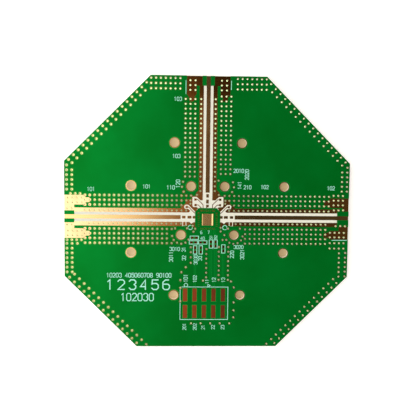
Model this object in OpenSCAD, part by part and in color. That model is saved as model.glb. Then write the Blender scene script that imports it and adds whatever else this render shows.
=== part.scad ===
// Bare radio-frequency evaluation board: an octagonal laminate with three coplanar lines that run
// from the left, top and right edges to a chip land, fences of plated vias, and a header land below.
// Millimetres. The origin is the centre of the fixing-hole pattern, on the underside. +Z is up.

/* [Board] */
// Chip centre to the left, right and top edges
board_reach = 37.8; // [36:0.1:42]
// Chip centre to the bottom edge
bottom_reach = 34.3; // [32:0.1:42]
// Half of the straight part of the top edge and of the side edges
flat_half = 15.24; // [13:0.1:17]
// Thickness of the bare laminate
laminate_t = 1.5; // [0.5:0.1:3.2]
// Thickness of the plated copper on each face
copper_t = 0.035; // [0.017:0.001:0.105]
// Thickness of the solder mask above the copper
mask_t = 0.025; // [0.02:0.005:0.05]
// Dip of the solder mask over the gaps in the copper
mask_dip = 0.01; // [0.005:0.001:0.014]
// Thickness of the printed legend
legend_t = 0.015; // [0.005:0.005:0.03]
// Bare laminate between the copper and the board's edge
edge_clear = 0.2; // [0.1:0.05:0.2]

/* [Fixing holes] */
// Finished diameter of the plated fixing holes
hole_d = 2.4; // [2:0.1:3]
// Shorter offset of the eight outer holes from the chip centre
hole_near = 8.89; // [8.5:0.01:10]
// Longer offset of the eight outer holes from the chip centre
hole_far = 20.32; // [18:0.01:24]
// Offset across of the two holes above the chip
upper_pair_x = 4.45; // [4.3:0.05:4.7]
// Height of the two holes above the chip centre
upper_pair_y = 8.85; // [8.7:0.05:9.1]
// Offset across of the two holes below the chip
lower_pair_x = 7.05; // [6.9:0.05:7.2]
// Drop of the two holes below the chip centre
lower_pair_y = 4.1; // [4:0.05:4.3]
// Width of the bare plated rim round each hole
hole_land = 0.2; // [0.16:0.01:0.3]
// Width of the copper-free ring round that rim
hole_gap = 0.25; // [0.15:0.05:0.4]

/* [Vias] */
// Finished bore of a via
via_d = 0.5; // [0.3:0.05:0.6]
// Spacing of vias along a fence
via_pitch = 1.27; // [1.2:0.01:1.4]
// Thickness of the copper plated on the wall of a fixing hole
plating_t = 0.03; // [0.02:0.005:0.05]
// Width of the bare copper rim round a via
via_rim = 0.14; // [0.08:0.01:0.2]
// Distance of the outermost via row from the board's edge
fence_edge = 0.6; // [0.6:0.05:0.8]
// Spacing between the two via rows that follow the board's edge
fence_gap = 1.24; // [1.1:0.02:1.4]

/* [Coplanar lines] */
// Height of the side lines above the chip centre
side_line_y = 0.635; // [0.5:0.005:0.75]
// Offset across of the top line from the chip centre
top_line_x = -0.1; // [-0.2:0.05:0.2]
// Width of the centre conductor
line_w = 1.08; // [0.9:0.02:1.2]
// Bare laminate gap on each side of the conductor
line_gap = 0.72; // [0.6:0.02:0.8]
// Width of the bare ground strip beside the gap
strip_w = 1.1; // [0.9:0.05:1.3]
// Distance from the chip centre to the inner end of the conductor
line_start = 7.2; // [7:0.05:8]
// Width of the small lands that carry the series parts
series_w = 0.72; // [0.5:0.02:0.9]

/* [Edge connector lands] */
// Offset of a land's inner side from the line's centre, next to the edge
land_inner = 1.6; // [1.4:0.05:1.8]
// Offset of a land's inner side further in
land_step = 3.15; // [2.8:0.05:3.4]
// Offset of a land's outer side
land_outer = 5.7; // [5.2:0.05:5.9]
// Length of the part of a land next to the edge
land_near = 2.6; // [2:0.05:3]
// Length of a land up to its taper
land_length = 4.8; // [4:0.05:5]
// Length of the taper
land_taper = 1.9; // [1.2:0.05:2]

/* [Chip land] */
// Side of the square ground land under the chip
chip_pad_w = 3.1; // [2.6:0.05:3.3]
// Distance from the chip centre to the middle of the pin lands
pin_reach = 2.4; // [2.3:0.05:2.5]
// Spacing of the pin lands
pin_pitch = 0.5; // [0.4:0.01:0.5]
// Width of a pin land
pin_w = 0.24; // [0.18:0.01:0.28]
// Length of a pin land
pin_l = 0.5; // [0.4:0.05:0.6]
// Width of the narrow traces
trace_w = 0.2; // [0.15:0.01:0.3]
// Copper-free gap round traces and separate lands
trace_gap = 0.2; // [0.15:0.01:0.25]

/* [Header land] */
// Offset across of the header's centre from the chip centre
header_x = -0.75; // [-1:0.05:0]
// Drop of the header's centre below the chip centre
header_y = 22.55; // [22:0.05:24]
// Spacing of the header's columns
header_pitch = 2.54; // [2:0.01:2.6]
// Distance between the centres of the header's two rows
header_row = 4.5; // [4.3:0.05:5]
// Width of a header land
header_pad_w = 1.15; // [0.8:0.05:1.3]
// Length of a header land
header_pad_l = 3.5; // [3:0.05:3.8]

/* [Small parts and legend] */
// Width across a small part's land
part_pad_w = 0.55; // [0.4:0.05:0.7]
// Length along a small part's land
part_pad_l = 0.7; // [0.4:0.05:0.75]
// Distance between the centres of a small part's two lands
part_pitch = 1.1; // [1:0.05:1.3]
// Stroke of the legend's outlines
legend_w = 0.15; // [0.12:0.01:0.25]

/* [Hidden] */

// Rise of each layer, from the face the board rests on
bottom_copper_z = mask_t;
laminate_z = bottom_copper_z + copper_t;
top_copper_z = laminate_z + laminate_t;
top_mask_z = top_copper_z + copper_t;
legend_z = top_mask_z + mask_t;

// Offset of a legend stroke from the line's centre
land_mark = 5.95;
round_fn = 24;
via_r = via_d / 2;
via_open_r = via_r + via_rim;
hole_r = hole_d / 2;
hole_open_r = hole_r + hole_land;
line_zone = line_w / 2 + line_gap;
strip_zone = line_zone + strip_w;
window_end = board_reach - land_near;
right_short = 0.5;
// Copper that has to reach the connector stops this far short of the edge
land_pullback = 0.1;
chip_zone = pin_reach + pin_l / 2 + trace_gap;
shunt_x = 6.2;
shunt_w = 0.7;
pins = 8;
header_columns = 5;

// Colours: laminate, bare plated copper, solder mask and legend ink
laminate_colour = "#EFEDE2";
gold_colour = "#B98A3C";
mask_colour = "#00701F";
legend_colour = "#BFF0DC";

// Points p, p + d, p + 2 d and so on, while the first coordinate that moves stays inside the limit
function count_to(first, last, step) = max(0, floor((last - first) / step + 0.01) + 1);
function run(p, d, n) = n < 1 ? [] : [for (i = [0:n - 1]) p + i * d];
function ring(centre, radius, angles) = [for (a = angles) centre + radius * [cos(a), sin(a)]];
function both(points) = concat(points, [for (p = points) [-p[0], p[1]]]);

// An arm's own frame runs outward along a line: u from the chip, v across
function on_left(points) = [for (p = points) [-p[0], side_line_y + p[1]]];
function on_right(points) = [for (p = points) [p[0], side_line_y + p[1]]];
function on_top(points) = [for (p = points) [top_line_x + p[1], p[0]]];

// Rows of a via fence: [offset across the line, first step, shift along]
strip_row = line_zone + strip_w / 2 - 0.05;
fence_end = board_reach - 5.3;
function fence_row(v, first, shift = 0) = let (u0 = (first + 0.5) * via_pitch + shift)
    run([u0, v], [via_pitch, 0], count_to(u0, fence_end, via_pitch));
upper_side_rows = concat(fence_row(strip_row, 4), fence_row(2.5 * via_pitch, 5),
    fence_row(3.5 * via_pitch, 4), fence_row(4.5 * via_pitch, 3));
left_lower_rows = concat(fence_row(-strip_row, 5, 0.15), fence_row(-2.5 * via_pitch, 7),
    fence_row(-3.5 * via_pitch, 8), fence_row(-4.5 * via_pitch, 8), fence_row(-5.5 * via_pitch, 7));
right_lower_rows = concat(fence_row(-strip_row, 5, 0.5), fence_row(-2.5 * via_pitch, 7, 0.5),
    fence_row(-3.5 * via_pitch, 7, 0.5), fence_row(-4.5 * via_pitch, 7, 0.5),
    fence_row(-5.5 * via_pitch, 7, 0.5));
top_fence = 3.45;
top_rows = [for (side = [-1, 1], v = [0:2])
    each fence_row(side * (top_fence + v * via_pitch), 8.5, side > 0 ? 0.75 : 0)];
top_strip_rows = [for (side = [-1, 1]) each fence_row(side * (strip_row + 0.15), 5.5)];

// Vias in the edge connector lands of one arm
function land_row(v, back, columns = 3) = run([board_reach - back, v], [1.25, 0], columns);
left_land_vias = concat(land_row(3.75, 4.7, 4), land_row(5, 4.7, 4), land_row(6.05, 4.15), land_row(-3.75, 4.7, 4),
    land_row(-5, 4.7, 4), land_row(-6.2, 4.45, 4), land_row(2.15, 2.05, 2), land_row(-2.15, 2.05, 2));
right_land_vias = concat(land_row(3.45, 4.1), land_row(4.7, 4.1), land_row(6, 4.15), land_row(-3.95, 4.9, 4),
    land_row(-5.2, 4.9, 4), land_row(-6.75, 4.9, 4), land_row(-8.2, 4.9, 4), land_row(2.1, 4), land_row(-2.15, 3.4));
top_land_vias = [for (side = [-1, 1], v = [3.45, 4.8]) each land_row(side * v, 3.7)];

// Fences that follow the edge. A row at inset d from a chamfer keeps x + y at chamfer_sum - d sqrt 2
chamfer_sum = board_reach + flat_half;
function chamfer_row(inset, x0, x_last, down = 1) = let (sum = chamfer_sum - inset * sqrt(2))
    run([x0, down * (sum - x0)], [via_pitch, -down * via_pitch], count_to(x0, x_last, via_pitch));
bottom_half = chamfer_sum - bottom_reach;
lower_inner_inset = fence_edge + fence_gap + 0.35;
upper_chamfer = concat(
    chamfer_row(fence_edge, flat_half + 1.06, board_reach - 1.1),
    chamfer_row(fence_edge + fence_gap, flat_half + 1.41, board_reach - 2));
lower_left_chamfer = concat(
    chamfer_row(fence_edge + 0.07, bottom_half - 0.02, board_reach - 1.2, -1),
    chamfer_row(lower_inner_inset, bottom_half - 2.6, board_reach - 2.5, -1));
lower_right_chamfer = concat(
    chamfer_row(fence_edge + 0.2, bottom_half - 0.28, board_reach - 2.4, -1),
    chamfer_row(lower_inner_inset, bottom_half - 2.46, board_reach - 3.7, -1));
side_outer_x = board_reach - 0.65;
side_inner_x = board_reach - 2;
upper_side_y = 7.7;
upper_side = concat(
    run([side_outer_x, upper_side_y + 0.1], [0, via_pitch], count_to(upper_side_y, flat_half - 1, via_pitch)),
    run([side_inner_x, upper_side_y + 0.1], [0, via_pitch], count_to(upper_side_y, flat_half - 2, via_pitch)));
function lower_side(x, y0, y_last) = run([x, -y0], [0, -via_pitch], count_to(y0, y_last, via_pitch));
lower_left_side = concat(lower_side(-side_outer_x, 6.55, flat_half - 0.9),
    lower_side(-side_inner_x, 6.55, flat_half - 0.9), [[3.4 - board_reach, -6.55]]);
lower_right_side = concat(lower_side(side_outer_x, 8.75, flat_half),
    lower_side(side_inner_x - 0.3, 8.85, flat_half));
top_edge_step = 1.35;
top_edge = [for (row = [0:2]) each let (x_last = row == 2 ? 6.3 : 7.5, x0 = flat_half - 0.1)
    run([x0, board_reach - fence_edge - 0.1 - row * top_edge_step], [-via_pitch, 0],
        count_to(-x0, -x_last, via_pitch))];

// Vias round the chip, the inner holes and the header
upper_ring = ring([upper_pair_x, upper_pair_y], hole_r + 1.25, [-36, -4, 28]);
lower_ring = ring([lower_pair_x, -lower_pair_y], hole_r + 1.17,
    [-148, -120, -92, -64, -36, -8, 48, 132]);
window_vias = [[2.9, 6.6], [4.62, 5.08], [4.62, 4.25]];
chip_vias = [[2.8, 10.4], [-3.9, -1.65], [-3.3, -2.45], [-3.75, -3.25], [3.5, -2.15], [3.5, -3.15], [4.5, -4.1],
    [4.05, -5.4]];
column_top = -7.3;
column_vias = concat(
    run([-0.25, column_top - 0.6], [0, -via_pitch], 7), [[-1.05, column_top - 9.1]],
    run([3.1, column_top], [0, -via_pitch], 8),
    run([5.6, column_top], [0, -via_pitch], 8));
left_chain = [[-4.4, -7.4], [-4.4, -8.75], [-4.4, -10.1], [-4.4, -11.6], [-5.7, -12.8], [-6.85, -14.15],
    [-7.1, -16.3]];
header_half_x = (header_columns - 1) / 2 * header_pitch + 1.4;
header_half_y = header_row / 2 + header_pad_l / 2 + 0.5;
header_vias = concat(
    run([header_x - header_half_x + 0.12, -header_y + 4.15], [0, -3.65], 2),
    run([header_x + header_half_x + 1.5, -header_y + 4.3], [0, -4.05], 2),
    [[header_x + header_half_x + 1.5, -header_y - 1.95], [header_x + header_half_x + 1.5, -header_y - 3.85],
     [header_x + header_half_x + 0.7, -header_y + 5.95]],
    run([header_x - 3.42, -header_y - header_half_y - 1], [2.58, 0], 5));

VIAS = concat(on_left(upper_side_rows), on_right(upper_side_rows), on_left(left_lower_rows),
    on_right(right_lower_rows), on_top(top_rows), on_top(top_strip_rows),
    on_left(left_land_vias), on_right(right_land_vias), on_top(top_land_vias),
    both(upper_chamfer), both(upper_side), both(top_edge),
    [for (p = lower_left_chamfer) [-p[0], p[1]]], lower_right_chamfer,
    lower_left_side, lower_right_side,
    both(upper_ring), both(lower_ring), both(window_vias), chip_vias, column_vias, left_chain, header_vias);

HOLES = concat(both([[hole_near, hole_far], [hole_far, hole_near], [hole_near, -hole_far],
    [hole_far, -hole_near]]), both([[upper_pair_x, upper_pair_y], [lower_pair_x, -lower_pair_y]]));

// Small parts: [x, y, turn of the part's length]
PARTS = [[0.95, -6.5, 90], [2.18, -6.5, 90], [4.28, -7.8, 90], [-3.25, -8.1, 90], [-1.75, -8.1, 90],
    [-3.5, -4.85, 0], [-3.7, -6.1, 0], [-1.25, -6.1, 0]];

// Lands of the fan-out and the way of each trace to its pin, on the right side
upper_land = [3.3, 5.35];
middle_land = [3.25, 3.9];
outer_land = [5.6, 3.35];
fan_land_w = 0.6;
function pin_at(i) = (i - (pins - 1) / 2) * pin_pitch;
fan_ways = [
    [upper_land, [2.65, 5.35], [pin_at(6), 5.35 - 2.65 + pin_at(6)], [pin_at(6), pin_reach]],
    [middle_land, [2.5, 3.9], [pin_at(7), 3.9 - 2.5 + pin_at(7)], [pin_at(7), pin_reach]],
    [outer_land, [5.1, 3.35], [3.5, pin_at(7)], [pin_reach, pin_at(7)]]];

// Traces under the mask, from a pin or a small part down to a small part or a header land
header_top = -header_y + header_row / 2 + header_pad_l / 2;
function column_x(i) = header_x + (i - (header_columns - 1) / 2) * header_pitch;
control_ways = [
    [[pin_at(5), -pin_reach], [pin_at(5), -4.2], [0.95, -4.5], [0.95, -5.9]],
    [[0.95, -7], [0.95, -16], [column_x(2), -16 + column_x(2) - 0.95], [column_x(2), header_top - 0.3]],
    [[pin_at(7), -pin_reach], [pin_at(7), -3.6], [2.18, -4.1], [2.18, -5.9]],
    [[2.18, -7], [2.18, -16.6], [column_x(3), -17], [column_x(3), header_top - 0.3]],
    [[4.28, -8.3], [4.28, -17], [column_x(4), -17.1], [column_x(4), header_top - 0.3]],
    [[pin_at(2), -pin_reach], [pin_at(2), -6]],
    [[-1.92, -6], [-1.92, -6.6], [-1.75, -6.9], [-1.75, -7.5]],
    [[-3.12, -6], [-3.12, -6.8], [-3.25, -7], [-3.25, -7.5]],
    [[-3.25, -8.7], [-3.25, -16.5], [column_x(1), -16.6], [column_x(1), header_top - 0.3]],
    [[-1.75, -8.7], [-1.75, -10], [-3.25, -11.5]]];

// Corner points of the board, moved inward by an inset
function board_points(inset) = let (
    side = board_reach - inset,
    low = bottom_reach - inset,
    pull = inset * (sqrt(2) - 1),
    half = flat_half - pull,
    low_half = bottom_half - pull)
    [[half, side], [side, half], [side, -half], [low_half, -low],
     [-low_half, -low], [-side, -half], [-side, half], [-half, side]];

module board(inset = 0) polygon(board_points(inset));

module on_vias(points) for (p = points) translate(p) children();

module on_left_arm() translate([0, side_line_y]) mirror([1, 0]) children();

module on_right_arm() translate([0, side_line_y]) children();

module on_top_arm() translate([top_line_x, 0]) rotate(90) children();

module in_arms() {
    on_left_arm() children();
    on_right_arm() children();
    on_top_arm() children();
}

module left_and_right() {
    children();
    mirror([1, 0]) children();
}

// A rectangle from u0 to u1, centred on the line
module band(u0, u1, w) translate([u0, -w / 2]) square([u1 - u0, w]);

// A round-ended track through the given points
module track(points, w) for (i = [0:len(points) - 2]) {
    let (a = points[i], b = points[i + 1], d = b - a) {
        translate(a) rotate(atan2(d[1], d[0])) translate([0, -w / 2]) square([norm(d), w]);
        translate(b) circle(d = w, $fn = round_fn);
        if (i == 0) translate(a) circle(d = w, $fn = round_fn);
    }
}

// The chip's surroundings, as areas of the plan

// Bare laminate beside the fan-out lands and at the flared ends of the line gaps, on the right side
module fan_window() {
    polygon([[4.1, 6.05], [4.1, 3.65], [3.8, 3.35], [2.9, 3.35], [2.5, chip_zone], [0.6, chip_zone], [0.6, 5.15],
        [2.1, 5.15], [2.95, 6.05]]);
    polygon([[6.25, 3.15], [6.25, 3.65], [5.95, 3.95], [5.2, 3.95], [3.35, 2.1], [3.35, -0.65],
        [3.85, -0.75], [4.35, -1.1], [4.9, -0.6], [5.05, 1.85], [4.65, 2.3], [5.35, 3], [6.1, 3]]);
}

// Solder mask over the chip's pins: a square with its top corners cut
module chip_cover() {
    cover = 3.35;
    top = 3.1;
    cut = 0.95;
    polygon([[-cover, -2.2], [cover, -2.2], [cover, top - cut - 0.2], [cover - cut, top],
        [cut - cover, top], [-cover, top - cut - 0.2]]);
}

// Area round the chip that the mask leaves bare: laminate, ground copper and lands
module chip_window() difference() {
    union() {
        left_and_right() polygon([[0, 8], [top_line_x + strip_zone, 8], [3.15, 7.1], [3.2, 6.35], [4.25, 6.2],
            [4.3, 5.5], [5.75, 5.15], [5.9, 4.3], [6.9, 3.4], [7.3, side_line_y + strip_zone],
            [7.3, side_line_y - strip_zone], [5.2, side_line_y - strip_zone + 0.1],
            [4.4, -1.15], [4, -1.75], [3.6, -2.15], [3.2, -2.15], [0, -0.8]]);
    }
    chip_cover();
}

module line_plan() band(line_start, board_reach - land_pullback, line_w);

module line_zone_plan() band(chip_zone, board_reach + 1, 2 * line_zone);

// Lands for the series parts: two free ones and one that runs on to its pin
module series_plan(pin_offset) {
    band(5.9, 6.8, series_w);
    band(4.3, 5.35, series_w);
    band(3.3, 4, series_w);
    translate([pin_reach - pin_l / 2, pin_offset - pin_w / 2]) square([3.4 - pin_reach + pin_l / 2, pin_w]);
}

module all_series() {
    left_and_right() translate([0, side_line_y]) series_plan(pin_at(5) - side_line_y);
    on_top_arm() series_plan(top_line_x - pin_at(3));
}

// A connector land on one side of a line: its near length, and how far its sides are from the line
module edge_land(side, near, inner, step, outer) {
    end = board_reach + 1;
    tip = board_reach - land_length - land_taper;
    neck = board_reach - land_length - land_taper / 2;
    middle = (step + outer) / 2;
    half_tip = (land_outer - land_step) / 4;
    polygon([[end, side * inner], [end, side * outer], [board_reach - land_length, side * outer],
        [neck, side * (middle + half_tip)], [tip + 0.2, side * (middle + half_tip)],
        [tip, side * (middle + half_tip - 0.25)], [tip, side * (middle - half_tip + 0.25)],
        [tip + 0.2, side * (middle - half_tip)], [neck, side * (middle - half_tip)],
        [board_reach - land_length, side * step], [board_reach - near, side * step],
        [board_reach - near, side * inner]]);
}

module edge_lands() for (side = [-1, 1]) edge_land(side, land_near, land_inner, land_step, land_outer);

// The right arm's lands are uneven: the upper one is narrower and the lower one further out
module right_edge_lands() {
    edge_land(1, land_near - 1, land_inner + 0.2, land_step - 0.4, land_outer - 0.4);
    edge_land(-1, land_near, land_inner + 0.7, land_step + 0.3, land_outer + 0.1);
}

module fan_out(grow = 0) left_and_right() {
    for (way = fan_ways) {
        track(way, trace_w + 2 * grow);
        translate(way[0]) square(fan_land_w + 2 * grow, center = true);
    }
}

// Pins of the chip, counted from the lower or left end, on the side that turn points to
module pin_row(turn, which) rotate(turn) for (i = which)
    translate([pin_reach, pin_at(i)]) square([pin_l, pin_w], center = true);

module part_pads(grow = 0) for (p = PARTS) translate([p[0], p[1]]) rotate(p[2])
    for (side = [-1, 1]) translate([side * part_pitch / 2, 0])
        square([part_pad_l + 2 * grow, part_pad_w + 2 * grow], center = true);

// Lands for the parts that go from a side line to ground, beside the series lands
module shunt_pads(grow = 0) left_and_right() translate([shunt_x, side_line_y - strip_row])
    square([shunt_w + 2 * grow, strip_w - 0.1 + 2 * grow], center = true);

module header_pads(rows, grow = 0) for (i = [0:header_columns - 1], side = rows)
    translate([column_x(i), -header_y + side * header_row / 2])
        square([header_pad_w + 2 * grow, header_pad_l + 2 * grow], center = true);

module control_plan(grow = 0) for (way = control_ways) track(way, trace_w + 2 * grow);

// Area of the top face that holds no ground copper
module copper_free() {
    in_arms() line_zone_plan();
    left_and_right() fan_window();
    square(2 * chip_zone, center = true);
    fan_out(trace_gap);
    control_plan(trace_gap);
    part_pads(trace_gap);
    shunt_pads(trace_gap);
    header_pads([-1, 1], trace_gap);
    on_vias(HOLES) circle(r = hole_open_r + hole_gap, $fn = round_fn);
}

// Bare strips beside a line, and its connector lands
module arm_window(end) {
    band(6, end, 2 * strip_zone);
    edge_lands();
}

// Area of the top face that the solder mask leaves bare
module mask_free() {
    in_arms() band(window_end - 2, board_reach + 1, line_w);
    on_left_arm() arm_window(window_end);
    on_top_arm() arm_window(window_end);
    on_right_arm() band(6, window_end - right_short, 2 * strip_zone);
    on_right_arm() right_edge_lands();
    chip_window();
    square(chip_pad_w, center = true);
    for (turn = [0:90:270]) pin_row(turn, [0:pins - 1]);
    part_pads(0);
    header_pads([-1, 1], 0);
}

module bores(r_via, r_hole) {
    on_vias(VIAS) circle(r = r_via, $fn = round_fn);
    on_vias(HOLES) circle(r = r_hole, $fn = round_fn);
}

module ground_outline() {
    board(edge_clear);
    intersection() {
        board(land_pullback);
        in_arms() band(window_end, board_reach, 2 * land_outer + 0.4);
    }
}

module disc(r) circle(r = r, $fn = round_fn);

// Copper under the mask that is no ground: traces, and the inner ends of the lands' leads
module buried_copper() {
    fan_out();
    control_plan();
    all_series();
}

// Gaps under the mask that show in its surface: beside the traces, round the small lands and the holes
module mask_dips() difference() {
    union() {
        control_plan(trace_gap);
        part_pads(trace_gap);
        header_pads([-1, 1], trace_gap);
        on_vias(HOLES) circle(r = hole_open_r + hole_gap, $fn = round_fn);
    }
    control_plan();
}

// One flat layer of the board's stack
module layer(z, t) translate([0, 0, z]) linear_extrude(t) children();

module laminate() color(laminate_colour) layer(laminate_z, laminate_t) difference() {
    board();
    bores(via_r, hole_r + plating_t);
}

module top_ground_copper() color(gold_colour) layer(top_copper_z, copper_t) difference() {
    ground_outline();
    copper_free();
    on_vias(VIAS) circle(r = via_r, $fn = round_fn);
}

module bottom_ground_copper() color(gold_colour) layer(bottom_copper_z, copper_t) difference() {
    board(edge_clear);
    bores(via_r, hole_open_r);
}

// The plated wall of each fixing hole, with its rim on both faces
module hole_plating() color(gold_colour) on_vias(HOLES) difference() {
    union() {
        layer(laminate_z, laminate_t) disc(hole_r + plating_t);
        for (z = [bottom_copper_z, top_copper_z]) layer(z, copper_t) disc(hole_open_r);
    }
    layer(bottom_copper_z - mask_t, laminate_t + 2 * copper_t + 2 * mask_t) disc(hole_r);
}

module top_copper() color(gold_colour) layer(top_copper_z, copper_t) children();

module line_left() top_copper() on_left_arm() line_plan();

module line_top() top_copper() on_top_arm() line_plan();

module line_right() top_copper() on_right_arm() line_plan();

module series_lands() top_copper() all_series();

module fan_out_nets() top_copper() {
    fan_out();
    pin_row(90, [0, 1, 6, 7]);
    pin_row(0, [7]);
    pin_row(180, [0]);
}

module chip_ground_land() top_copper() square(chip_pad_w, center = true);

// The pins that no trace in another node reaches
module chip_pin_lands() top_copper() {
    pin_row(0, [0, 1, 2, 3, 4, 6]);
    pin_row(90, [2, 3, 5]);
    pin_row(180, [1, 3, 4, 5, 6, 7]);
    pin_row(270, [0, 1, 3, 4, 6]);
}

module control_nets() top_copper() {
    difference() {
        control_plan();
        part_pads();
        header_pads([-1, 1]);
    }
    pin_row(270, [2, 5, 7]);
}

module header_lands() top_copper() header_pads([-1, 1]);

module part_lands() top_copper() {
    part_pads();
    shunt_pads();
}

// The mask lies on the copper and fills down to the laminate where there is none
module top_mask() color(mask_colour) union() {
    difference() {
        layer(top_mask_z, mask_t) difference() {
            board();
            mask_free();
            bores(via_open_r, hole_open_r);
        }
        layer(legend_z - mask_dip, 2 * mask_dip) mask_dips();
    }
    layer(top_copper_z, copper_t) difference() {
        intersection() {
            board();
            union() {
                copper_free();
                difference() {
                    board(-1);
                    ground_outline();
                }
            }
        }
        mask_free();
        on_vias(HOLES) circle(r = hole_open_r, $fn = round_fn);
        buried_copper();
    }
}

module bottom_mask() color(mask_colour) union() {
    layer(0, mask_t) difference() {
        board();
        bores(via_open_r, hole_open_r);
    }
    layer(bottom_copper_z, copper_t) difference() {
        board();
        board(edge_clear);
    }
}

// A rectangular outline of the legend's stroke
module frame_outline(w, h) difference() {
    square([w, h], center = true);
    square([w - 2 * legend_w, h - 2 * legend_w], center = true);
}

module ring_mark(r, sides = round_fn) difference() {
    circle(r = r, $fn = sides);
    circle(r = r - (sides < round_fn ? 2 * legend_w : legend_w), $fn = sides);
}

module legend() color(legend_colour) layer(legend_z, legend_t) {
    difference() {
        union() {
            translate([header_x, -header_y]) frame_outline(2 * header_half_x, 2 * header_half_y);
            // Marks of the first and the middle column
            translate([column_x(0) + 0.2, header_half_y - header_y + 0.45]) ring_mark(0.55);
            translate([column_x(2) + 1.2, header_half_y - header_y + 0.3]) ring_mark(0.6, 3);
            left_and_right() translate([4.6, -2.1]) ring_mark(0.65);
        }
        on_vias(concat(header_vias, chip_vias, both(lower_ring))) circle(r = via_open_r, $fn = round_fn);
    }
    for (p = PARTS) translate([p[0], p[1]]) rotate(p[2])
        frame_outline(part_pitch + part_pad_l + 0.6, part_pad_w + 0.5);
    // Strokes beside the edge connector lands
    translate([0, side_line_y - land_mark]) band(board_reach - 4.4, board_reach - 0.3, legend_w);
    for (side = [-1, 1]) translate([top_line_x + side * land_mark, 0]) rotate(90)
        band(board_reach - 4.2 + side * 0.6, board_reach - 1.2, legend_w);
}

laminate();
top_ground_copper();
bottom_ground_copper();
hole_plating();
line_left();
line_top();
line_right();
series_lands();
fan_out_nets();
chip_ground_land();
chip_pin_lands();
control_nets();
header_lands();
part_lands();
top_mask();
bottom_mask();
legend();
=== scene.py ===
"""Looks for a bare octagonal radio-frequency board: finishes for its layers, printed numbers and a stage.

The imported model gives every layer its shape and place. This file dresses those layers, prints plain
numbers where such a board has its markings, and sets the board on a pale floor under soft light.
"""
import math

import bmesh
import bpy
from bpy.props import FloatProperty, FloatVectorProperty, PointerProperty
from mathutils import Matrix, Vector


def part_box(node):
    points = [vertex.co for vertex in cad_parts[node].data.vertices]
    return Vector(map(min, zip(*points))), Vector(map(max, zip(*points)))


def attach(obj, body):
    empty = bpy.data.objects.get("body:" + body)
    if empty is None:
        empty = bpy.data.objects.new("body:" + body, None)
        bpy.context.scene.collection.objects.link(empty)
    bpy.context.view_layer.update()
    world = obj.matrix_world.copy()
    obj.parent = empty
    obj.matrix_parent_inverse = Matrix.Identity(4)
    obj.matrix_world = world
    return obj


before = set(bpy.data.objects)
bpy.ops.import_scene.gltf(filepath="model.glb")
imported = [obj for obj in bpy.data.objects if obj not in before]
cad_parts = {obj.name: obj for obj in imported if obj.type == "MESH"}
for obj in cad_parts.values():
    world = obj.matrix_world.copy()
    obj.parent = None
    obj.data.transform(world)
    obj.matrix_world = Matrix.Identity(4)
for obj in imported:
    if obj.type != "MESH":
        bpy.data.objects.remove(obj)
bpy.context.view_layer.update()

bl_info = {
    "name": "Bare circuit board",
    "version": (1, 0, 0),
    "blender": (4, 5, 0),
    "location": "View3D > Sidebar > Board",
    "description": "Finishes, printed numbers and a stage for a bare octagonal circuit board",
    "category": "Object",
}

MM = 0.001
BOARD_LOW, BOARD_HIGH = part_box("laminate")
INK_LOW, INK_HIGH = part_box("legend")
# Half of the straight part of the top edge and of the side edges
FLAT_HALF = 15.24 * MM

LINE_NODES = ("line_left", "line_top", "line_right", "series_lands", "hole_plating")
GROUND_NODES = ("top_ground_copper", "bottom_ground_copper", "fan_out_nets", "control_nets")
MASK_NODES = ("top_mask", "bottom_mask")

# Bare copper of the top face in millimetres: centre x, centre y, half the width and half the height
BARE_AREAS = (
    (0, 0.635, 38, 2.4), (-0.1, 20, 2.4, 18), (-34.4, 0.635, 3.6, 5.75), (34.4, 0.635, 3.6, 5.75),
    (-0.1, 34.4, 5.75, 3.6), (-0.1, 2.9, 7.5, 5.2),
)

# Fixing holes on the right side in millimetres; the left side mirrors them
FIXING_HOLES = ((8.89, 20.32), (20.32, 8.89), (8.89, -20.32), (20.32, -8.89), (4.45, 8.85), (7.05, -4.1))


def linear(code, alpha=1.0):
    """An sRGB hex colour such as #A07030 as a linear RGBA tuple."""
    def channel(value):
        value = int(value, 16) / 255
        return value / 12.92 if value <= 0.04045 else ((value + 0.055) / 1.055) ** 2.4
    code = code.lstrip("#")
    return tuple(channel(code[i:i + 2]) for i in (0, 2, 4)) + (alpha,)


def colour_property(name, description, code):
    """A colour setting whose default is an sRGB hex code."""
    return FloatVectorProperty(
        name=name, description=description, default=linear(code), subtype="COLOR", size=4, min=0, max=1)


class BoardFinish(bpy.types.PropertyGroup):
    mask: colour_property("Solder mask", "Liquid photo-imaged mask over copper", "#007F25")
    mask_thin: colour_property("Thin mask", "The same mask where it is thinner", "#008F31")
    gold: colour_property("Plated gold", "Immersion gold over nickel and copper", "#FFD592")
    gold_pale: colour_property("Pale gold", "The same gold on the wide lands, a little paler", "#FFDFA6")
    # The bores are duller than the lands, and their near-white tone is a painted reflection of light coming
    # up them from below
    bore_reflection: colour_property("Plated bore", "The gold of a via's wall, dulled by drilling", "#FFFAE8")
    # On the wide lands this orange tone is painted shade: the gold runs to it from the bright left towards
    # the dim middle. On the part lands it is the plating's own thinner tone
    worn_gold_and_shade: colour_property("Thin gold", "The same plating where copper comes through", "#FFB86A")
    copper: colour_property("Tarnished copper", "Lands whose thin gold has gone red-brown", "#A8502C")
    # Painted shade: the header lands darken towards the right, away from the light
    copper_painted_shade: colour_property("Dark copper", "The same lands where they have gone darker", "#6E3A22")
    pin: colour_property("Filmed pin", "Pin lands under a last thin film of mask", "#54802C")
    laminate: colour_property("Laminate", "White ceramic-filled glass laminate", "#F9F9EA")
    laminate_glass: colour_property("Laminate weave", "The glass weave under its surface", "#F0F0E0")
    film: colour_property("Filmed rim", "Rims of the vias where mask has crept over them", "#B4C878")
    # Painted shade: the gold darkens by the top edge, where the room above reflects dark, not from duller
    # plating
    shaded: colour_property("Dull gold", "The same plating by the top edge, where it is dullest", "#AE7635")
    dip: colour_property("Mask over a gap", "The mask where bare laminate lies under it", "#0C9A38")
    ink: colour_property("Legend ink", "White ink that lets some green through", "#B4FFEC")


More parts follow.
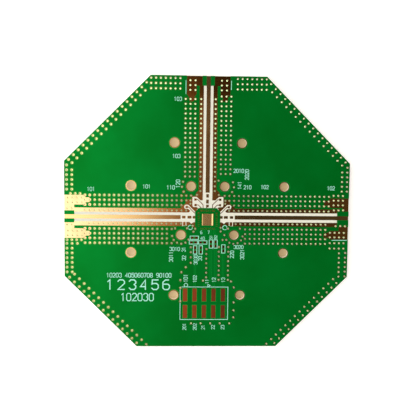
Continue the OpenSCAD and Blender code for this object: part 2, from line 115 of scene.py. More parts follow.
class PrintedNumbers(bpy.types.PropertyGroup):
    stroke: FloatProperty(
        name="Stroke", description="Width of a small number's strokes, as a share of its height",
        default=0.145, min=0.05, max=0.3)
    slim: FloatProperty(
        name="Width", description="Width of a digit, as a share of its height", default=0.55, min=0.3, max=1)
    gap: FloatProperty(
        name="Gap", description="Space between digits, as a share of their height",
        default=0.2, min=0.1, max=1)
    large_stroke: FloatProperty(
        name="Large stroke", description="Width of a large number's strokes, as a share of its height",
        default=0.12, min=0.05, max=0.3)
    large_slim: FloatProperty(
        name="Large width", description="Width of a digit in the largest row, as a share of its height",
        default=0.67, min=0.3, max=1)
    large_gap: FloatProperty(
        name="Large gap", description="Space between digits in the largest row, as a share of their height",
        default=0.48, min=0.1, max=1)


class StageSettings(bpy.types.PropertyGroup):
    focal_pixels: FloatProperty(
        name="Focal length", description="Focal length in pixels of the 420-pixel picture",
        default=700, min=200, max=4000)
    distance: FloatProperty(
        name="Distance", description="Camera's distance from the board", default=0.1877, min=0.05,
        subtype="DISTANCE", unit="LENGTH")
    floor_size: FloatProperty(
        name="Floor", description="Side of the floor", default=3, min=0.5,
        subtype="DISTANCE", unit="LENGTH")
    floor_colour: colour_property("Floor", "Plain pale paper", "#F2F1EE")
    # Painted light: the card glows, brighter towards its edge and warmer on the bright side, in place of
    # light reaching it from below
    card_colour: colour_property("Card", "Plain pale card, seen through the vias", "#DCEEC4")
    card_lit_warm: colour_property("Warm card", "The same card on the bright side", "#EADDA8")
    # The tan is the paper's own colour; it glows with painted light, brighter on the left
    disc_colour: colour_property("Discs", "Plain tan paper under the fixing holes", "#BEA986")


def add(tree, kind, inputs=None, **settings):
    """Adds a node with its settings, and fills its inputs with values or links."""
    node = tree.nodes.new(kind)
    for name, value in settings.items():
        setattr(node, name, value)
    for key, value in (inputs or {}).items():
        if isinstance(value, bpy.types.NodeSocket):
            tree.links.new(value, node.inputs[key])
        else:
            node.inputs[key].default_value = value
    return node


def new_material(name):
    """An empty node material and its tree."""
    material = bpy.data.materials.new(name)
    material.use_nodes = True
    material.node_tree.nodes.clear()
    return material, material.node_tree


def per_metre(size_mm):
    """The noise scale whose features are about that size."""
    return 1 / (size_mm * MM)


def finish_nodes(names, material):
    """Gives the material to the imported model's nodes of these names."""
    for name in names:
        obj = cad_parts[name]
        obj.data.materials.clear()
        obj.data.materials.append(material)


def make_mask(look):
    """Glossy green solder mask: liquid photo-imaged epoxy, cured, over rolled copper.

    The copper below shows through as a dull sheen, so the base is partly metallic. The liquid has
    levelled unevenly: the mask is thinner in wide soft patches, and its gloss varies a little.
    """
    material, tree = new_material("solder_mask")
    place = add(tree, "ShaderNodeTexCoord")
    flow = add(tree, "ShaderNodeTexNoise", {
        "Vector": place.outputs["Object"], "Scale": per_metre(14), "Detail": 3, "Roughness": 0.55})
    share = add(tree, "ShaderNodeMapRange", {
        "Value": flow.outputs["Fac"], "From Min": 0.35, "From Max": 0.75})
    tone = add(tree, "ShaderNodeMix", {
        "Factor": share.outputs["Result"], "A": look.mask, "B": look.mask_thin}, data_type="RGBA")
    # It sinks a little over the gaps in the copper, and is lighter there
    rise = add(tree, "ShaderNodeSeparateXYZ", {"Vector": place.outputs["Object"]})
    sunk = add(tree, "ShaderNodeMath", {
        0: rise.outputs["Z"], 1: INK_LOW.z - 0.005 * MM}, operation="LESS_THAN")
    upper = add(tree, "ShaderNodeMath", {0: rise.outputs["Z"], 1: BOARD_HIGH.z}, operation="GREATER_THAN")
    dip = add(tree, "ShaderNodeMath", {0: sunk.outputs[0], 1: upper.outputs[0]}, operation="MULTIPLY")
    tone = add(tree, "ShaderNodeMix", {
        "Factor": dip.outputs[0], "A": tone.outputs["Result"], "B": look.dip}, data_type="RGBA")
    peel = add(tree, "ShaderNodeTexNoise", {
        "Vector": place.outputs["Object"], "Scale": per_metre(0.8), "Detail": 2})
    roughness = add(tree, "ShaderNodeMapRange", {
        "Value": peel.outputs["Fac"], "To Min": 0.27, "To Max": 0.3})
    bump = add(tree, "ShaderNodeBump", {
        "Height": peel.outputs["Fac"], "Strength": 0.02, "Distance": 0.02 * MM})
    shader = add(tree, "ShaderNodeBsdfPrincipled", {
        "Base Color": tone.outputs["Result"], "Metallic": 0.5, "Roughness": roughness.outputs["Result"],
        "Specular IOR Level": 0.06, "Normal": bump.outputs["Normal"]})
    add(tree, "ShaderNodeOutputMaterial", {"Surface": shader.outputs["BSDF"]})
    return material


def within(tree, spot, areas):
    """A node that gives 1 inside any of the areas and 0 elsewhere."""
    found = None
    for x, y, half_x, half_y in areas:
        across = add(tree, "ShaderNodeMath", {
            0: spot.outputs["X"], 1: x * MM, 2: half_x * MM}, operation="COMPARE")
        along = add(tree, "ShaderNodeMath", {
            0: spot.outputs["Y"], 1: y * MM, 2: half_y * MM}, operation="COMPARE")
        both = add(tree, "ShaderNodeMath", {0: across.outputs[0], 1: along.outputs[0]}, operation="MULTIPLY")
        if found:
            both = add(tree, "ShaderNodeMath", {
                0: found.outputs[0], 1: both.outputs[0]}, operation="MAXIMUM")
        found = both
    return found


def make_gold(name, tone, bore_reflection, smooth, rough, runs=(), film=None):
    """Immersion gold on electroless nickel over rough plated copper: a soft satin metal.

    Each run takes the tone over to another one along an axis, between two places in millimetres.
    With a film, the rims outside the bare areas have that tone instead.
    """
    material, tree = new_material(name)
    place = add(tree, "ShaderNodeTexCoord")
    stain = add(tree, "ShaderNodeTexNoise", {
        "Vector": place.outputs["Object"], "Scale": per_metre(5), "Detail": 4, "Roughness": 0.6})
    spread = add(tree, "ShaderNodeMapRange", {
        "Value": stain.outputs["Fac"], "From Min": 0.3, "From Max": 0.7, "To Min": -0.15, "To Max": 0.15})
    spot = add(tree, "ShaderNodeSeparateXYZ", {"Vector": place.outputs["Object"]})
    for axis, start, end, other in runs:
        along = add(tree, "ShaderNodeMapRange", {
            "Value": spot.outputs[axis], "From Min": start * MM, "From Max": end * MM})
        share = add(tree, "ShaderNodeMath", {
            0: along.outputs["Result"], 1: spread.outputs["Result"]}, operation="ADD", use_clamp=True)
        tone = add(tree, "ShaderNodeMix", {
            "Factor": share.outputs[0], "A": tone, "B": other}, data_type="RGBA").outputs["Result"]
    if film:
        tone = add(tree, "ShaderNodeMix", {
            "Factor": within(tree, spot, BARE_AREAS).outputs[0], "A": film, "B": tone,
        }, data_type="RGBA").outputs["Result"]
    grain = add(tree, "ShaderNodeTexNoise", {
        "Vector": place.outputs["Object"], "Scale": per_metre(0.25), "Detail": 2})
    roughness = add(tree, "ShaderNodeMapRange", {
        "Value": stain.outputs["Fac"], "To Min": smooth, "To Max": rough})
    bump = add(tree, "ShaderNodeBump", {
        "Height": grain.outputs["Fac"], "Strength": 0.03, "Distance": 0.01 * MM})
    # The walls of the bores are duller and paler than the flat lands; the pale tone is a painted reflection
    # of light from below
    face = add(tree, "ShaderNodeSeparateXYZ", {
        "Vector": add(tree, "ShaderNodeNewGeometry").outputs["Normal"]})
    level = add(tree, "ShaderNodeMath", {0: face.outputs["Z"]}, operation="ABSOLUTE")
    wall = add(tree, "ShaderNodeMath", {0: level.outputs[0], 1: 0.5}, operation="LESS_THAN")
    tone = add(tree, "ShaderNodeMix", {
        "Factor": wall.outputs[0], "A": tone, "B": bore_reflection}, data_type="RGBA")
    metal = add(tree, "ShaderNodeMapRange", {"Value": wall.outputs[0], "To Min": 1.0, "To Max": 0.1})
    roughness = add(tree, "ShaderNodeMath", {
        0: roughness.outputs["Result"],
        1: add(tree, "ShaderNodeMath", {0: wall.outputs[0], 1: 0.5}, operation="MULTIPLY").outputs[0],
    }, operation="MAXIMUM")
    shader = add(tree, "ShaderNodeBsdfPrincipled", {
        "Base Color": tone.outputs["Result"], "Metallic": metal.outputs["Result"],
        "Roughness": roughness.outputs[0], "Normal": bump.outputs["Normal"]})
    add(tree, "ShaderNodeOutputMaterial", {"Surface": shader.outputs["BSDF"]})
    return material


def raise_lips(tree, box):
    """Plating that has built up along the two sides of a land: a slope that faces left at each."""
    place = add(tree, "ShaderNodeTexCoord")
    spot = add(tree, "ShaderNodeSeparateXYZ", {"Vector": place.outputs["Object"]})
    rises = [
        add(tree, "ShaderNodeMapRange", {
            "Value": spot.outputs["X"], "From Min": start, "From Max": start + wide, "To Max": rise},
            interpolation_type="SMOOTHSTEP")
        for start, wide, rise in (
            (box[0].x + 0.1 * MM, 0.2 * MM, 0.5), (box[1].x - 0.5 * MM, 0.4 * MM, 2))
    ]
    height = add(tree, "ShaderNodeMath", {
        0: rises[0].outputs["Result"], 1: rises[1].outputs["Result"]}, operation="ADD")
    # The lips go over the grain that the metal already has
    bump = add(tree, "ShaderNodeBump", {
        "Height": height.outputs[0], "Strength": 1, "Distance": 0.02 * MM})
    shader = tree.nodes["Principled BSDF"]
    tree.links.new(shader.inputs["Normal"].links[0].from_socket, bump.inputs["Normal"])
    tree.links.new(bump.outputs["Normal"], shader.inputs["Normal"])


def make_laminate(look):
    """White ceramic-filled glass laminate, sawn at its edge; the walls of its bores are plated, in a pale
    tone that is a painted reflection.
    """
    material, tree = new_material("ceramic_glass_laminate")
    place = add(tree, "ShaderNodeTexCoord")
    weave = add(tree, "ShaderNodeTexNoise", {
        "Vector": place.outputs["Object"], "Scale": per_metre(0.5), "Detail": 3})
    base = add(tree, "ShaderNodeMix", {
        "Factor": weave.outputs["Fac"], "A": look.laminate, "B": look.laminate_glass}, data_type="RGBA")
    axis = add(tree, "ShaderNodeSeparateXYZ", {"Vector": place.outputs["Object"]})
    upright = add(tree, "ShaderNodeSeparateXYZ", {
        "Vector": add(tree, "ShaderNodeNewGeometry").outputs["Normal"]})
    tilt = add(tree, "ShaderNodeMath", {0: upright.outputs["Z"]}, operation="ABSOLUTE")
    wall = add(tree, "ShaderNodeMath", {0: tilt.outputs[0], 1: 0.5}, operation="LESS_THAN")
    across = add(tree, "ShaderNodeMath", {0: axis.outputs["X"]}, operation="ABSOLUTE")
    along = add(tree, "ShaderNodeMath", {0: axis.outputs["Y"]}, operation="ABSOLUTE")
    reach = BOARD_HIGH.x
    chamfer = reach + FLAT_HALF
    margins = [
        add(tree, "ShaderNodeMath", {0: reach, 1: across.outputs[0]}, operation="SUBTRACT"),
        add(tree, "ShaderNodeMath", {0: BOARD_HIGH.y, 1: axis.outputs["Y"]}, operation="SUBTRACT"),
        add(tree, "ShaderNodeMath", {0: axis.outputs["Y"], 1: BOARD_LOW.y}, operation="SUBTRACT"),
        add(tree, "ShaderNodeMath", {
            0: chamfer,
            1: add(tree, "ShaderNodeMath", {0: across.outputs[0], 1: along.outputs[0]}).outputs[0],
        }, operation="SUBTRACT"),
    ]
    inside = margins[0]
    for margin in margins[1:]:
        inside = add(tree, "ShaderNodeMath", {
            0: inside.outputs[0], 1: margin.outputs[0]}, operation="MINIMUM")
    deep = add(tree, "ShaderNodeMath", {0: inside.outputs[0], 1: 0.1 * MM}, operation="GREATER_THAN")
    plated = add(tree, "ShaderNodeMath", {0: wall.outputs[0], 1: deep.outputs[0]}, operation="MULTIPLY")
    # The plated walls take the pale bore tone, a painted reflection of light from below
    tone = add(tree, "ShaderNodeMix", {
        "Factor": plated.outputs[0], "A": base.outputs["Result"], "B": look.bore_reflection}, data_type="RGBA")
    metal = add(tree, "ShaderNodeMath", {0: plated.outputs[0], 1: 0.1}, operation="MULTIPLY")
    roughness = add(tree, "ShaderNodeMapRange", {
        "Value": plated.outputs[0], "To Min": 0.55, "To Max": 0.5})
    bump = add(tree, "ShaderNodeBump", {
        "Height": weave.outputs["Fac"], "Strength": 0.05, "Distance": 0.02 * MM})
    shader = add(tree, "ShaderNodeBsdfPrincipled", {
        "Base Color": tone.outputs["Result"], "Metallic": metal.outputs[0],
        "Roughness": roughness.outputs["Result"], "Normal": bump.outputs["Normal"]})
    add(tree, "ShaderNodeOutputMaterial", {"Surface": shader.outputs["BSDF"]})
    return material


def make_ink(look):
    """Legend ink: screen-printed white epoxy, thin enough to take a green cast from the mask."""
    material, tree = new_material("legend_ink")
    place = add(tree, "ShaderNodeTexCoord")
    speckle = add(tree, "ShaderNodeTexNoise", {
        "Vector": place.outputs["Object"], "Scale": per_metre(0.3), "Detail": 3})
    share = add(tree, "ShaderNodeMapRange", {
        "Value": speckle.outputs["Fac"], "From Min": 0.5, "From Max": 0.85, "To Max": 0.2})
    tone = add(tree, "ShaderNodeMix", {
        "Factor": share.outputs["Result"], "A": look.ink, "B": look.mask_thin}, data_type="RGBA")
    bump = add(tree, "ShaderNodeBump", {
        "Height": speckle.outputs["Fac"], "Strength": 0.2, "Distance": 0.01 * MM})
    shader = add(tree, "ShaderNodeBsdfPrincipled", {
        "Base Color": tone.outputs["Result"], "Roughness": 0.55, "Normal": bump.outputs["Normal"]})
    add(tree, "ShaderNodeOutputMaterial", {"Surface": shader.outputs["BSDF"]})
    return material


# Digits as strokes on a grid 4 wide and 6 high. A stroke that ends where it began is closed.
DIGITS = {
    "0": [[(1, 0), (3, 0), (4, 1), (4, 5), (3, 6), (1, 6), (0, 5), (0, 1), (1, 0)]],
    "1": [[(0.7, 4.8), (2, 6), (2, 0)]],
    "2": [[(0, 5), (1, 6), (3, 6), (4, 5), (4, 3.8), (0, 0), (4, 0)]],
    "3": [[(0, 5), (1, 6), (3, 6), (4, 5), (4, 4), (3, 3.1), (4, 2.2), (4, 1), (3, 0), (1, 0), (0, 1)]],
    "4": [[(2.5, 1.8), (0, 1.8), (3, 6), (3, 0)]],
    "5": [[(4, 6), (0.4, 6), (0.2, 3.4), (1, 3.8), (3, 3.8), (4, 2.8), (4, 1), (3, 0), (1, 0), (0, 1)]],
    "6": [[(3.5, 6), (1.5, 6), (0, 4.5), (0, 1), (1, 0), (3, 0), (4, 1), (4, 2.5), (3, 3.4), (0.5, 3.4)]],
    "7": [[(0, 6), (4, 6), (1.4, 0)]],
    "8": [[(1, 0), (3, 0), (4, 1), (4, 2.2), (3.2, 3), (0.8, 3), (0, 2.2), (0, 1), (1, 0)],
          [(0.6, 3.5), (0.2, 4.1), (0.2, 5.2), (1, 6), (3, 6), (3.8, 5.2), (3.8, 4.1), (3.4, 3.5)]],
    "9": [[(0.5, 0), (2.5, 0), (4, 1.5), (4, 5), (3, 6), (1, 6), (0, 5), (0, 3.5), (1, 2.6), (3.5, 2.6)]],
}

# Printed numbers in millimetres: [what, centre x, centre y, height, turn in degrees]
LARGE_NUMBERS = [("123456", -18.37, -17.55, 2.6, 0)]
DATE_NUMBERS = [("102030", -18.6, -20.9, 2, 0)]
SCALE_NUMBERS = [("10203 405060708 90100", -18.15, -15, 1.1, 0)]
ARM_NUMBERS = [
    ("103", -8.1, 31.7, 0.95, 0), ("103", -8.4, 16.8, 0.95, 0),
    ("101", -30.8, 7.9, 0.95, 0), ("101", -16.2, 8.7, 0.95, 0),
    ("102", 15.1, 8.8, 0.95, 0), ("102", 32.85, 8.65, 0.95, 0),
]
PART_NUMBERS = [
    ("110", -9.85, 8.5, 1, 0), ("120", -7.95, 9.5, 1, 90), ("2010", 8.1, 13.05, 0.95, 0),
    ("2020", 10.3, 12.05, 0.95, 90), ("141", 8.4, 9.2, 0.95, 90), ("210", 10.5, 8.7, 0.95, 0),
    ("3010", -8.7, -7.9, 0.95, 0), ("3011", -9.65, -10, 0.95, 90), ("31", -6.3, -8, 0.95, 90),
    ("32", -6.2, -10.3, 0.95, 90), ("3030", -3.1, -10.75, 0.9, 90), ("33", -1.9, -10.4, 0.9, 90),
    ("3020", 8.35, -7.3, 0.9, 0), ("3021", 9.35, -9.3, 0.95, 90), ("220", 6.6, -9.3, 0.95, 90),
    ("6", -1.65, -3.4, 0.8, 0), ("7", 0.3, -3.4, 0.8, 0), ("40", -1.3, -5, 0.8, 0),
    ("51", 0.95, -4.65, 0.7, 90), ("52", 2.2, -4.65, 0.7, 90),
]
HEADER_NUMBERS = [
    ("101", -5.7, -15.75, 1, 90), ("102", -3.25, -15.95, 0.9, 90), ("11", 0, -16.6, 0.85, 90),
    ("12", 1.85, -16.2, 0.9, 90), ("13", 4.35, -16.2, 0.9, 90), ("201", -5.95, -28.95, 0.85, 90),
    ("202", -3.15, -28.95, 0.85, 90), ("21", -0.95, -29.1, 0.85, 90), ("22", 1.75, -29.1, 0.85, 90),
    ("23", 4.35, -29.1, 0.85, 90),
]


def ribbon(bm, points, width):
    """A flat stroke through the points, drawn out from an edge across its start, with mitred corners."""
    closed = points[0] == points[-1]
    points = [Vector(p) for p in points]
    ways = [(b - a).normalized() for a, b in zip(points, points[1:])]
    if closed:
        before, after = [ways[-1]] + ways, ways + [ways[0]]
    else:
        before, after = [ways[0]] + ways, ways + [ways[-1]]
    sections = []
    for point, into, out in zip(points, before, after):
        middle = (into + out).normalized()
        reach = width / 2 / max(0.5, middle.dot(out))
        sections.append((point, Vector((-middle.y, middle.x)) * reach))
    if not closed:
        # A rounded end: two narrower sections past the last point
        for end, way in ((0, -ways[0]), (-1, ways[-1])):
            point, side = sections[end]
            tip = (point + way * width * 0.3, side * 0.45)
            sections.insert(0 if end == 0 else len(sections), tip)
    first, side = sections[0]
    left = bm.verts.new((first + side).to_3d())
    right = bm.verts.new((first - side).to_3d())
    edge = bm.edges.new((left, right))
    start = (left, right)
    for point, side in sections[1:]:
        drawn = bmesh.ops.extrude_edge_only(bm, edges=[edge])["geom"]
        new = [v for v in drawn if isinstance(v, bmesh.types.BMVert)]
        edge = next(e for e in drawn if isinstance(e, bmesh.types.BMEdge) and all(v in new for v in e.verts))
        # The new pair keeps the order of the pair that it was drawn from
        partner = {v: next(e.other_vert(v) for e in v.link_edges if e.other_vert(v) not in new) for v in new}
        a, b = (new[0], new[1]) if partner[new[0]] is left else (new[1], new[0])
        a.co, b.co = (point + side).to_3d(), (point - side).to_3d()
        left, right = a, b
    if closed:
        bmesh.ops.pointmerge(bm, verts=[start[0], left], merge_co=start[0].co)
        bmesh.ops.pointmerge(bm, verts=[start[1], right], merge_co=start[1].co)


def print_numbers(name, rows, stroke, slim, gap, ink):
    """One piece of printed digits, lying in the legend's layer."""
    bm = bmesh.new()
    for text, x, y, height, turn in rows:
        digit_w = height * slim
        step = digit_w + height * gap
        start = -(step * (len(text) - 1) + digit_w) / 2
        for place, glyph in enumerate(text):
            if glyph == " ":
                continue
            part = bmesh.new()
            for path in DIGITS[glyph]:
                scaled = [(px / 4 * digit_w, (py / 6 - 0.5) * height) for px, py in path]
                ribbon(part, scaled, height * stroke)
            bmesh.ops.translate(part, verts=part.verts, vec=(start + place * step, 0, 0))
            bmesh.ops.rotate(part, verts=part.verts, matrix=Matrix.Rotation(math.radians(turn), 3, "Z"))
            bmesh.ops.translate(part, verts=part.verts, vec=(x, y, 0))
            mesh = bpy.data.meshes.new("digit")
            part.to_mesh(mesh)
            part.free()
            bm.from_mesh(mesh)
            bpy.data.meshes.remove(mesh)
    bmesh.ops.scale(bm, verts=bm.verts, vec=(MM, MM, MM))
    thickness = INK_HIGH.z - INK_LOW.z
    raised = bmesh.ops.extrude_face_region(bm, geom=list(bm.faces))["geom"]
    bmesh.ops.translate(
        bm, verts=[v for v in raised if isinstance(v, bmesh.types.BMVert)], vec=(0, 0, thickness))
    bmesh.ops.translate(bm, verts=bm.verts, vec=(0, 0, INK_LOW.z))
    bmesh.ops.recalc_face_normals(bm, faces=bm.faces)
    mesh = bpy.data.meshes.new(name)
    bm.to_mesh(mesh)
    bm.free()
    mesh.materials.append(ink)
    obj = bpy.data.objects.new(name, mesh)
    bpy.context.scene.collection.objects.link(obj)
    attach(obj, "root")
    return obj


class BOARD_OT_mask(bpy.types.Operator):
    """Dress the mask of both faces"""
    bl_idname = "board.mask"
    bl_label = "Solder mask"

    def execute(self, context):
        finish_nodes(MASK_NODES, make_mask(context.scene.board_finish))
        return {"FINISHED"}


class BOARD_OT_copper(bpy.types.Operator):
    """Dress the plated copper of both faces and of the holes"""
    bl_idname = "board.copper"
    bl_label = "Plated copper"

    def execute(self, context):
        look = context.scene.board_finish
        # Painted shade on the ground copper: redder towards the dim middle, and darker by the top edge
        painted_shade_runs = (("X", -34, -4, look.worn_gold_and_shade), ("Y", 29, 34, look.shaded))
        finish_nodes(GROUND_NODES, make_gold(
            "thin_gold_painted_shade", look.gold_pale, look.bore_reflection, 0.1, 0.17, painted_shade_runs, tuple(look.film)))
        for names, name, tone, smooth, rough, runs in (
            (LINE_NODES, "plated_gold", look.gold, 0.09, 0.15, ()),
            # The header lands are tarnished copper, with painted shade that darkens them from left to right
            (("header_lands",), "tarnished_copper_painted_shade", look.copper, 0.45, 0.55,
             (("X", -6, 7, look.copper_painted_shade),)),
            (("part_lands",), "part_land_copper", look.copper, 0.12, 0.2,
             (("Y", -4, -2, look.worn_gold_and_shade),)),
            (("chip_pin_lands",), "filmed_pins", look.pin, 0.35, 0.45, ()),
        ):
            finish_nodes(names, make_gold(name, tone, look.bore_reflection, smooth, rough, runs))
        lipped = make_gold("lipped_gold", look.gold, look.bore_reflection, 0.16, 0.24)
        raise_lips(lipped.node_tree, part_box("chip_ground_land"))
        finish_nodes(("chip_ground_land",), lipped)
        return {"FINISHED"}


class BOARD_OT_laminate(bpy.types.Operator):
    """Dress the laminate and the plated walls of its vias"""
    bl_idname = "board.laminate"
    bl_label = "Laminate"

    def execute(self, context):
        finish_nodes(("laminate",), make_laminate(context.scene.board_finish))
        return {"FINISHED"}


class BOARD_OT_legend(bpy.types.Operator):
    """Dress the printed outlines and print plain numbers beside them"""
    bl_idname = "board.legend"
    bl_label = "Legend"

    def execute(self, context):
        ink = make_ink(context.scene.board_finish)
        finish_nodes(("legend",), ink)
        style = context.scene.board_numbers
        print_numbers(
            "numbers_large", LARGE_NUMBERS, style.large_stroke, style.large_slim, style.large_gap, ink)
        print_numbers("numbers_date", DATE_NUMBERS, style.large_stroke, style.slim, style.gap, ink)
        for name, rows in (
            ("numbers_scale", SCALE_NUMBERS), ("numbers_arms", ARM_NUMBERS),
            ("numbers_parts", PART_NUMBERS), ("numbers_header", HEADER_NUMBERS),
        ):
            print_numbers(name, rows, style.stroke, style.slim, style.gap, ink)
        return {"FINISHED"}


class BOARD_OT_stage(bpy.types.Operator):
    """Set the floor, the papers under the board, the soft light and the camera"""
    bl_idname = "board.stage"
    bl_label = "Stage"

    def execute(self, context):
        settings = context.scene.board_stage
        add_floor(settings)
        add_card(settings)
        add_discs(settings)
        add_light()
        add_camera(settings)
        return {"FINISHED"}


def add_floor(settings):
    """A plain pale floor, just under the board."""
    material, tree = new_material("pale_paper")
    seen = add(tree, "ShaderNodeLightPath")
    # White to the camera and in gloss, with the object's shadow still on it
    paper = add(tree, "ShaderNodeBsdfDiffuse", {"Color": settings.floor_colour})
    share = add(tree, "ShaderNodeMath", {
        0: seen.outputs["Is Camera Ray"], 1: seen.outputs["Is Glossy Ray"]}, operation="MAXIMUM")
    share = add(tree, "ShaderNodeMath", {
        0: share.outputs[0], 1: seen.outputs["Is Transmission Ray"]}, operation="MAXIMUM")
    lift = add(tree, "ShaderNodeMath", {0: share.outputs[0], 1: 0.4}, operation="MULTIPLY")
    glow = add(tree, "ShaderNodeEmission", {"Color": (1, 1, 1, 1), "Strength": lift.outputs[0]})
    both = add(tree, "ShaderNodeAddShader", {0: paper.outputs[0], 1: glow.outputs[0]})
    add(tree, "ShaderNodeOutputMaterial", {"Surface": both.outputs[0]})
    bm = bmesh.new()
    bmesh.ops.create_grid(bm, x_segments=1, y_segments=1, size=settings.floor_size / 2)
    bmesh.ops.translate(bm, verts=bm.verts, vec=(0, 0, -0.1 * MM))
    stage_piece("floor", bm, material)


def glowing_paper(name, tones, tone_span, strengths, light_span, from_centre):
    """Matt paper that glows with painted light, in place of the room's light reaching it from below.

    Its tone runs from left to right over a span in millimetres. Its painted light runs over a span of
    its own, from left to right too or from the centre outward.
    """
    material, tree = new_material(name)
    place = add(tree, "ShaderNodeTexCoord")
    spot = add(tree, "ShaderNodeSeparateXYZ", {"Vector": place.outputs["Object"]})
    across = add(tree, "ShaderNodeMapRange", {
        "Value": spot.outputs["X"], "From Min": tone_span[0] * MM, "From Max": tone_span[1] * MM})
    tone = add(tree, "ShaderNodeMix", {
        "Factor": across.outputs["Result"], "A": tones[0], "B": tones[1]}, data_type="RGBA")
    outward = add(tree, "ShaderNodeVectorMath", {0: place.outputs["Object"]}, operation="LENGTH")
    strength = add(tree, "ShaderNodeMapRange", {
        "Value": outward.outputs["Value"] if from_centre else spot.outputs["X"],
        "From Min": light_span[0] * MM, "From Max": light_span[1] * MM,
        "To Min": strengths[0], "To Max": strengths[1]})
    paper = add(tree, "ShaderNodeBsdfDiffuse", {"Color": tone.outputs["Result"]})
    glow = add(tree, "ShaderNodeEmission", {
        "Color": tone.outputs["Result"], "Strength": strength.outputs["Result"]})
    both = add(tree, "ShaderNodeAddShader", {0: paper.outputs[0], 1: glow.outputs[0]})
    add(tree, "ShaderNodeOutputMaterial", {"Surface": both.outputs[0]})
    return material


def add_card(settings):
    """A plain card under the board, smaller than it, that shows only through the vias; it glows with painted
    light.
    """
    bm = bmesh.new()
    reach = BOARD_HIGH.x - 0.6 * MM
    octagon = bmesh.ops.create_circle(
        bm, cap_ends=True, segments=8, radius=reach / math.cos(math.pi / 8))["verts"]
    bmesh.ops.rotate(bm, verts=octagon, matrix=Matrix.Rotation(math.pi / 8, 3, "Z"))
    bmesh.ops.bisect_plane(
        bm, geom=bm.verts[:] + bm.edges[:] + bm.faces[:], plane_co=(0, BOARD_LOW.y + 0.6 * MM, 0),
        plane_no=(0, -1, 0), clear_outer=True)
    bmesh.ops.translate(bm, verts=bm.verts, vec=(0, 0, -0.06 * MM))
    stage_piece("card", bm, glowing_paper(
        "card_painted_light", (settings.card_lit_warm, settings.card_colour), (-34, -8), (0.3, 1.1), (10, 36), True))


def add_discs(settings):
    """A round of tan paper on the card under each fixing hole, glowing with painted light that is brighter
    on the left.
    """
    bm = bmesh.new()
    for x, y in FIXING_HOLES:
        for side in (-1, 1):
            bmesh.ops.create_circle(
                bm, cap_ends=True, segments=24, radius=2 * MM,
                matrix=Matrix.Translation((side * x * MM, y * MM, -0.03 * MM)))
    stage_piece("discs", bm, glowing_paper(
        "tan_paper_painted_light", (settings.disc_colour, settings.disc_colour), (-12, 2), (0.6, 0.25), (-12, 2), False))


def stage_piece(name, bm, material):
    """Makes the mesh an object of the stage."""
    mesh = bpy.data.meshes.new(name)
    bm.to_mesh(mesh)
    bm.free()
    mesh.materials.append(material)
    obj = bpy.data.objects.new(name, mesh)
    bpy.context.scene.collection.objects.link(obj)


def add_light():
    """A soft room that is brighter on the left, and one large lamp."""
    scene = bpy.context.scene
    world = bpy.data.worlds.new("soft_room")
    world.use_nodes = True
    tree = world.node_tree
    tree.nodes.clear()
    place = add(tree, "ShaderNodeTexCoord")
    way = add(tree, "ShaderNodeSeparateXYZ", {"Vector": place.outputs["Generated"]})
    # The room is bright on the left, from just beside straight up, and dim overhead and on the right,
    # so that polished metal runs from pale to dark across the board
    lean = add(tree, "ShaderNodeMath", {0: way.outputs["Y"], 1: -0.1}, operation="MULTIPLY")
    step = add(tree, "ShaderNodeMapRange", {
        "Value": way.outputs["Y"], "From Min": 0.045, "From Max": 0.08, "To Max": 0.035})
    shift = add(tree, "ShaderNodeMath", {0: lean.outputs[0], 1: step.outputs["Result"]}, operation="ADD")
    across = add(tree, "ShaderNodeMath", {0: way.outputs["X"], 1: shift.outputs[0]}, operation="ADD")
    side = add(tree, "ShaderNodeMapRange", {
        "Value": across.outputs[0], "From Min": -0.185, "From Max": 0.043, "To Min": 1.45, "To Max": 0.03})
    # Its walls light the matt surfaces evenly, a little less on the right
    low = add(tree, "ShaderNodeMapRange", {
        "Value": way.outputs["Z"], "From Min": 0.55, "From Max": 0.85, "To Min": 1, "To Max": 0.03},
        interpolation_type="SMOOTHSTEP")
    fade = add(tree, "ShaderNodeMapRange", {
        "Value": way.outputs["X"], "From Min": -0.2, "From Max": 0.9, "To Min": 0.9, "To Max": 0.68})
    low = add(tree, "ShaderNodeMath", {
        0: low.outputs["Result"], 1: fade.outputs["Result"]}, operation="MULTIPLY")
    level = add(tree, "ShaderNodeMath", {
        0: side.outputs["Result"], 1: low.outputs[0]}, operation="MAXIMUM")
    # A faint glow comes back at the far right
    far = add(tree, "ShaderNodeMapRange", {
        "Value": way.outputs["X"], "From Min": 0.12, "From Max": 0.23, "To Max": 0.03})
    level = add(tree, "ShaderNodeMath", {0: level.outputs[0], 1: far.outputs["Result"]}, operation="ADD")
    # Where the bright side fades out, its light is warm
    colour = add(tree, "ShaderNodeValToRGB", {"Fac": level.outputs[0]})
    for spot, (position, code) in zip(
        [colour.color_ramp.elements[0], colour.color_ramp.elements.new(0.2), colour.color_ramp.elements[-1]],
        ((0.04, "#FFEECC"), (0.2, "#FFB882"), (0.8, "#FFFEFA")),
    ):
        spot.position, spot.color = position, linear(code)
    add(tree, "ShaderNodeOutputWorld", {"Surface": add(tree, "ShaderNodeBackground", {
        "Color": colour.outputs["Color"], "Strength": level.outputs[0]}).outputs[0]})
    scene.world = world

    lamp = bpy.data.lights.new("soft_box", "AREA")
    lamp.shape = "RECTANGLE"
    lamp.size, lamp.size_y = 0.7, 1.2
    lamp.energy = 0.8
    box = bpy.data.objects.new("soft_box", lamp)
    scene.collection.objects.link(box)
    box.location = (-0.5, 0.05, 0.6)
    box.rotation_euler = (Vector((0, 0, 0)) - box.location).to_track_quat("-Z", "Y").to_euler()


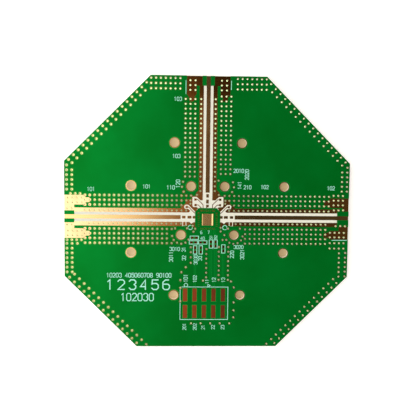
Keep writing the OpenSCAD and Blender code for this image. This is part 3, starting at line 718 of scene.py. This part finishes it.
def add_camera(settings):
    """The camera at the photograph's place, nearly straight above the board."""
    scene = bpy.context.scene
    camera = bpy.data.cameras.new("camera")
    camera.sensor_width = 36
    camera.lens = settings.focal_pixels * camera.sensor_width / 420
    camera.clip_start = 0.01
    obj = bpy.data.objects.new("camera", camera)
    scene.collection.objects.link(obj)
    turn = (
        Matrix.Rotation(math.radians(-0.44), 4, "Z")
        @ Matrix.Rotation(math.radians(2.59), 4, "Y")
        @ Matrix.Rotation(math.radians(4.84), 4, "X")
    )
    offset = Matrix.Translation((-0.7 * MM, -2.44 * MM, -settings.distance))
    obj.matrix_world = (offset @ turn).inverted()
    scene.camera = obj


class BOARD_PT_panel(bpy.types.Panel):
    """Lists the steps and their settings"""
    bl_idname = "BOARD_PT_panel"
    bl_label = "Bare circuit board"
    bl_space_type = "VIEW_3D"
    bl_region_type = "UI"
    bl_category = "Board"

    def draw(self, context):
        for operator in OPERATORS:
            self.layout.operator(operator.bl_idname)
        for group in SETTINGS:
            holder = getattr(context.scene, group)
            for name in holder.bl_rna.properties.keys():
                if name not in {"rna_type", "name"}:
                    self.layout.prop(holder, name)


OPERATORS = (BOARD_OT_laminate, BOARD_OT_copper, BOARD_OT_mask, BOARD_OT_legend, BOARD_OT_stage)
SETTINGS = {"board_finish": BoardFinish, "board_numbers": PrintedNumbers, "board_stage": StageSettings}


def register():
    for cls in (*SETTINGS.values(), *OPERATORS, BOARD_PT_panel):
        bpy.utils.register_class(cls)
    for name, cls in SETTINGS.items():
        setattr(bpy.types.Scene, name, PointerProperty(type=cls))


def unregister():
    for name in SETTINGS:
        delattr(bpy.types.Scene, name)
    for cls in reversed((*SETTINGS.values(), *OPERATORS, BOARD_PT_panel)):
        bpy.utils.unregister_class(cls)


def main():
    register()
    bpy.context.scene.view_settings.view_transform = "Standard"
    bpy.ops.board.laminate()
    bpy.ops.board.copper()
    bpy.ops.board.mask()
    bpy.ops.board.legend()
    bpy.ops.board.stage()


if __name__ == "__main__":
    main()
